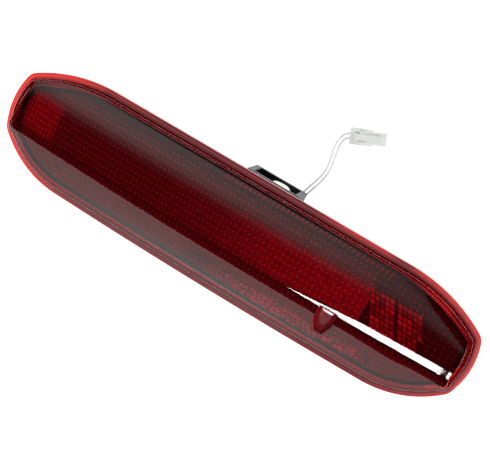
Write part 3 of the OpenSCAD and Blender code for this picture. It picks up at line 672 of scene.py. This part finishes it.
def rightBlocks(x, y):
    # slanted columns of the right-hand lamp chamber
    low, high = zones["blocksY"]
    return low < y < high and np.interp(y, (low, high), zones["blocksLeft"]) < x < np.interp(
        y, (low, high), zones["blocksRight"])


def pitchAt(x):
    return 3.43 + 0.0049 * x + 0.000012 * x * x


dotXs = [-166.0]
while dotXs[-1] < 166:
    dotXs.append(dotXs[-1] + pitchAt(dotXs[-1]))
keepOut = jetPlan(jet["wall"] + 0.6)


def opticAt(x, y, room):
    return (bottomY(x) + 8 < y < topY(x) - 6 and not inside(x, y, keepOut)
            and rimDistance(x, y) > bandInset(x, y) + room)


tilePoints, tileFaces, tileGlow = [], [], []


def addTile(x0, x1, y0, y1, level, up=0.3, slant=0.0):
    first = len(tilePoints)
    cx, cy, gap = (x0 + x1) / 2, (y0 + y1) / 2, 0.06
    for px, py, rise in ((x0 + gap, y0 + gap, 0), (x1 - gap, y0 + gap, 0), (x1 - gap + slant, y1 - gap, 0),
                         (x0 + gap + slant, y1 - gap, 0), (cx + slant / 2, cy, up)):
        tilePoints.append((px, py, skinHeight(px, py) - optic["sheetSink"] + rise))
    tileFaces.extend([(first, first + 1, first + 4), (first + 1, first + 2, first + 4),
                      (first + 2, first + 3, first + 4), (first + 3, first, first + 4)])
    # painted shading: the four slopes of each pillow are set at fixed levels, the upper slope lightest and the
    # lower darkest
    tileGlow.extend([level * k for k in (0.75, 1.0, 1.2, 0.95)])


rowStep = optic["rowPitch"] / 2
for xa, xb in zip(dotXs, dotXs[1:]):
    for x0, x1 in ((xa, (xa + xb) / 2), ((xa + xb) / 2, xb)):
        for iy in range(-14, 26):
            y0 = iy * rowStep
            x, y = (x0 + x1) / 2, y0 + rowStep / 2
            if abs(x) > 165 or rightBlocks(x, y) or not opticAt(x, y, 2.6):
                continue
            level = zoneGlow(x, y)
            if level < 0.008:
                continue
            spread = (0.8, 0.92, 1.0, 1.1, 1.25) if y > 0 else (0.25, 0.4, 0.8, 1.2, 1.7)
            addTile(x0, x1, y0, y0 + rowStep, level * random.choice(spread), 0.12)
# stacked blocks, each row set a little further left, with a gap after the fifth column
block = {"rows": 9, "columns": 10, "rowPitch": 3.0, "columnPitch": 3.5, "wide": 2.9, "tall": 2.6, "gap": 2.0,
         "rise": 0.5, "slant": -1.4, "levels": (0.5, 0.9, 1.2, 1.6)}
for row in range(block["rows"]):
    y0 = zones["blocksY"][0] + row * block["rowPitch"]
    for column in range(block["columns"]):
        x0 = (np.interp(y0, zones["blocksY"], zones["blocksLeft"]) + column * block["columnPitch"]
              + (block["gap"] if column > 4 else 0))
        if (x0 + block["wide"] < np.interp(y0, zones["blocksY"], zones["blocksRight"])
                and opticAt(x0 + 1.5, y0 + 1.4, 2.6)):
            # painted light: each block glows at a level picked at random
            addTile(x0, x0 + block["wide"], y0, y0 + block["tall"],
                    zones["blocks"] * random.choice(block["levels"]), block["rise"], block["slant"])
# row of small arrowheads above the centre band, each of two slanted tiles
arrow = {"count": 36, "from": -20, "pitch": 3.5, "y": 45.2}
for k in range(arrow["count"]):
    x0 = arrow["from"] + arrow["pitch"] * k
    y0 = arrow["y"] - 0.01 * max(0, x0 - 60) ** 1.3
    if opticAt(x0, y0, 1.0):
        # painted light: the upper tile of each arrowhead glows brighter than the lower
        addTile(x0, x0 + 1.7, y0, y0 + 1.3, 0.16, 0.4, 0.8)
        addTile(x0 + 0.2, x0 + 1.9, y0 - 1.4, y0, 0.1, 0.4, -0.8)
meshPiece("opticTiles", raised(tilePoints), tileFaces, "lamp", [made["optic"]],
                  smooth=False, glow=tileGlow)

# painted glints: each dot glows with the light of its zone, standing in for the glint of its pillow optic
dotPoints, dotFaces, dotGlow = [], [], []
for x in dotXs:
    for iy in range(-8, 14):
        y = iy * optic["rowPitch"] + 1.9
        if rightBlocks(x, y) or not opticAt(x, y, 2.8):
            continue
        level = 0.14 + 2.2 * zoneGlow(x, y) + random.uniform(-0.04, 0.08)
        first, r, z0 = len(dotPoints), optic["dotRadius"], skinHeight(x, y) - optic["sheetSink"]
        for rr, up in ((1.0, 0.0), (0.72, 0.32), (0.3, 0.48)):
            for k in range(8):
                a = math.radians(45 * k)
                dotPoints.append((x + r * rr * math.cos(a), y + r * rr * math.sin(a), z0 + 0.1 + up))
        dotPoints.append((x, y, z0 + 0.62))
        for low in (first, first + 8):
            dotFaces += [(low + k, low + (k + 1) % 8, low + 8 + (k + 1) % 8, low + 8 + k) for k in range(8)]
        dotFaces += [(first + 16 + k, first + 16 + (k + 1) % 8, first + 24) for k in range(8)]
        dotGlow += [level] * 24
meshPiece("opticDots", raised(dotPoints), dotFaces, "lamp", [made["optic"]], glow=dotGlow)
print("optic tiles", len(tileFaces), "dots", len(dotFaces))

# dark strip between the optic and the fluted border: painted shade standing for the shaded gap there
shadeStripWide = np.where(upper, 0.7, 0.4)
shadeStripProfile = ((-1.0, 3.2), (-0.9, 4.8), (-0.6, 5.4), (0.6, 5.4), (0.9, 4.8), (1.0, 3.2))
shadeStripRings = [insetRing(bandIn + ds * shadeStripWide, z) for ds, z in shadeStripProfile]
meshPiece("contourShadeStrip", raised(np.concatenate(shadeStripRings)), ringFaces(shadeStripRings), "lamp",
                         [made["blackNylonAndShade"]])

# scoop of the washer-jet recess: walls down to a dished floor
scoopRim = []
scoopPlan = jetPlan(0.0)
for a, b in zip(scoopPlan, scoopPlan[1:] + scoopPlan[:1]):
    count = max(2, int(math.dist(a, b) / 1.2))
    scoopRim += [(a[0] + (b[0] - a[0]) * k / count, a[1] + (b[1] - a[1]) * k / count) for k in range(count)]
scoopMid = (jet["at"][0], jet["at"][1] - 8.0)
floorLevel = float(creaseZ(jet["at"][0])) - jet["depth"]
scoopRings = []
for pull, sink in ((0.0, 0.0), (0.03, 0.08), (0.05, 0.5), (0.1, 0.93), (0.2, 1.0), (0.6, 1.0), (0.98, 1.0)):
    scoopRings.append([(x + (scoopMid[0] - x) * pull, y + (scoopMid[1] - y) * pull,
                        skinHeight(x, y) * (1 - sink) + floorLevel * sink) for x, y in scoopRim])
rimSteps = len(scoopRim)
scoopFaces = [(j * rimSteps + i, j * rimSteps + (i + 1) % rimSteps, (j + 1) * rimSteps + (i + 1) % rimSteps,
               (j + 1) * rimSteps + i) for j in range(len(scoopRings) - 1) for i in range(rimSteps)]
scoopFaces.append(tuple((len(scoopRings) - 1) * rimSteps + i for i in range(rimSteps)))
# painted light and shade: the top of the walls glows and fades to a dark floor, the left wall painted lit and
# the right wall shaded
scoopGlow = [(0.55, 0.3, 0.08, 0.02, 0.01, 0.01)[j] * (1.3 if scoopRim[i][0] < scoopMid[0] - 2 else 0.35)
             for j in range(len(scoopRings) - 1) for i in range(rimSteps)] + [0.01]
scoop = meshPiece("jetScoop", raised(np.concatenate(scoopRings)), scoopFaces, "lamp", [made["rim"]],
                  glow=scoopGlow)
lit["bevel"].objects.link(scoop)

# push-in clip: a collar with a domed cap around the bore
clip = {"axis": (11.5, 20.0), "around": 40,
        "profile": [(2.1, 30.3), (3.2, 30.3), (3.2, 33.1), (5.5, 33.1), (5.5, 37.4), (6.5, 37.6), (6.8, 38.4),
                    (6.4, 39.5), (5.2, 40.2), (3.6, 40.5), (2.1, 40.5)]}
clipPoints = [(clip["axis"][0] + r * math.cos(2 * math.pi * k / clip["around"]), y,
               clip["axis"][1] + r * math.sin(2 * math.pi * k / clip["around"]))
              for r, y in clip["profile"] for k in range(clip["around"])]
clipRows, around = len(clip["profile"]), clip["around"]
clipFaces = [(j * around + k, (j + 1) % clipRows * around + k, (j + 1) % clipRows * around + (k + 1) % around,
              j * around + (k + 1) % around) for j in range(clipRows) for k in range(around)]
clipPiece = meshPiece("clipDome", clipPoints, clipFaces, "lamp", [made["whiteNylon"]])
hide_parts("fixing_clip")

# fine flutes square to the edge
flute = {"pitch": 1.7, "depth": 0.4, "start": 4.6}
step = np.hypot(*(np.roll(rimLoop, -1, 0) - rimLoop).T)
distance = np.concatenate([[0], np.cumsum(step)])
ribs = int(distance[-1] / flute["pitch"])
columns = ribs * 4
at = np.arange(columns) * distance[-1] / columns
closed = np.vstack([rimLoop, rimLoop[:1]])
outline = np.column_stack([np.interp(at, distance, closed[:, k]) for k in (0, 1)])
closedIn = np.vstack([inward, inward[:1]])
normals = np.column_stack([np.interp(at, distance, closedIn[:, k]) for k in (0, 1)])
normals /= np.linalg.norm(normals, axis=1)[:, None]
closedRoom = np.append(roomIn, roomIn[0])
room = np.interp(at, distance, closedRoom)
phase = np.tile([0, 1, 0, -1], ribs) * flute["depth"]
fluteRows = []
closedBand = np.append(bandIn, bandIn[0])
closedShadeStrip = np.append(shadeStripWide, shadeStripWide[0])
reachIn = np.interp(at, distance, closedBand) - np.interp(at, distance, closedShadeStrip) * 0.8
fluteProfile = ((-0.1, 1.0, 0), (0.0, 3.0, 1), (0.3, 4.0, 1), (0.65, 4.6, 1), (0.9, 4.9, 1), (1.0, 4.6, 0))
for t, z, amount in fluteProfile:
    flat = outline + normals * ((flute["start"] + (reachIn - flute["start"]) * t) * room)[:, None]
    fluteRows.append(np.column_stack([flat, z + phase * amount * 0.5]))
fluteFaces = [((j + 1) * columns + i, (j + 1) * columns + (i + 1) % columns, j * columns + (i + 1) % columns,
               j * columns + i) for j in range(len(fluteRows) - 1) for i in range(columns)]
# painted light: the faces on each rib glow brighter and those in each groove darker, with a brighter comb near
# the right end
fluteGlow = []
for j in range(len(fluteRows) - 1):
    for i in range(columns):
        x, y = outline[i]
        base = 0.24 if y > 0 else 0.28
        comb = smoothStep(118, 130, x) * (1 - smoothStep(146, 152, x)) * (y > 0)
        comb += smoothStep(158, 164, x) * (y < 16)
        base += 0.3 * comb * (1 if i % 4 < 2 else 0.1)
        fluteGlow.append(base * (1.5 if i % 4 < 2 else 0.35))
meshPiece("lensFlutes", raised(np.concatenate(fluteRows)), fluteFaces, "lamp", [made["flute"]],
                   smooth=False, glow=fluteGlow)

# carried-over CAD nodes
nodeFinish = {"lens_bond": "hotMelt", "optic_plate": "redPlate", "reflector_left": "vacuumAluminium",
              "reflector_centre": "vacuumAluminium", "reflector_right": "vacuumAluminium",
              "reflector_screws": "zincSteel", "contact_strip_live": "rolledBrass",
              "contact_strip_earth": "rolledBrass", "rear_housing": "blackAbs", "body_gasket": "epdmFoam",
              "mounting_studs": "zincSteel", "stud_seals": "epdmFoam", "vent_cap": "epdmRubber",
              "rear_bracket": "greyNylon", "bracket_screws": "zincSteel", "fixing_clip": "whiteNylon",
              "lead_grommet": "epdmRubber", "connector_housing": "naturalNylon",
              "connector_terminals": "rolledBrass", "wire_seals": "redSilicone",
              "connector_latch": "naturalNylon"}
for k in range(1, 5):
    nodeFinish.update({f"bulb_holder_{k}": "blackNylonAndShade", f"holder_seal_{k}": "epdmRubber",
                       f"filament_{k}": "drawnTungsten", f"bulb_{k}": "bulbGlass"})
for name, finish in nodeFinish.items():
    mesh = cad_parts[name].data
    mesh.materials.clear()
    mesh.materials.append(made[finish])

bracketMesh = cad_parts["rear_bracket"].data  # painted shade: the pockets get the black copy of the nylon, the outside keeps the grey
bracketMesh.materials.append(made["blackNylonAndShade"])
# painted shade: faces inside the pocket box take the black material
for face in bracketMesh.polygons:
    cx, cy, cz = (c / mm for c in face.center)
    face.material_index = int(-8.1 < cx < 23.6 and 7.9 < cz < 27.1 and cy < 40.6)
print("finishes set")
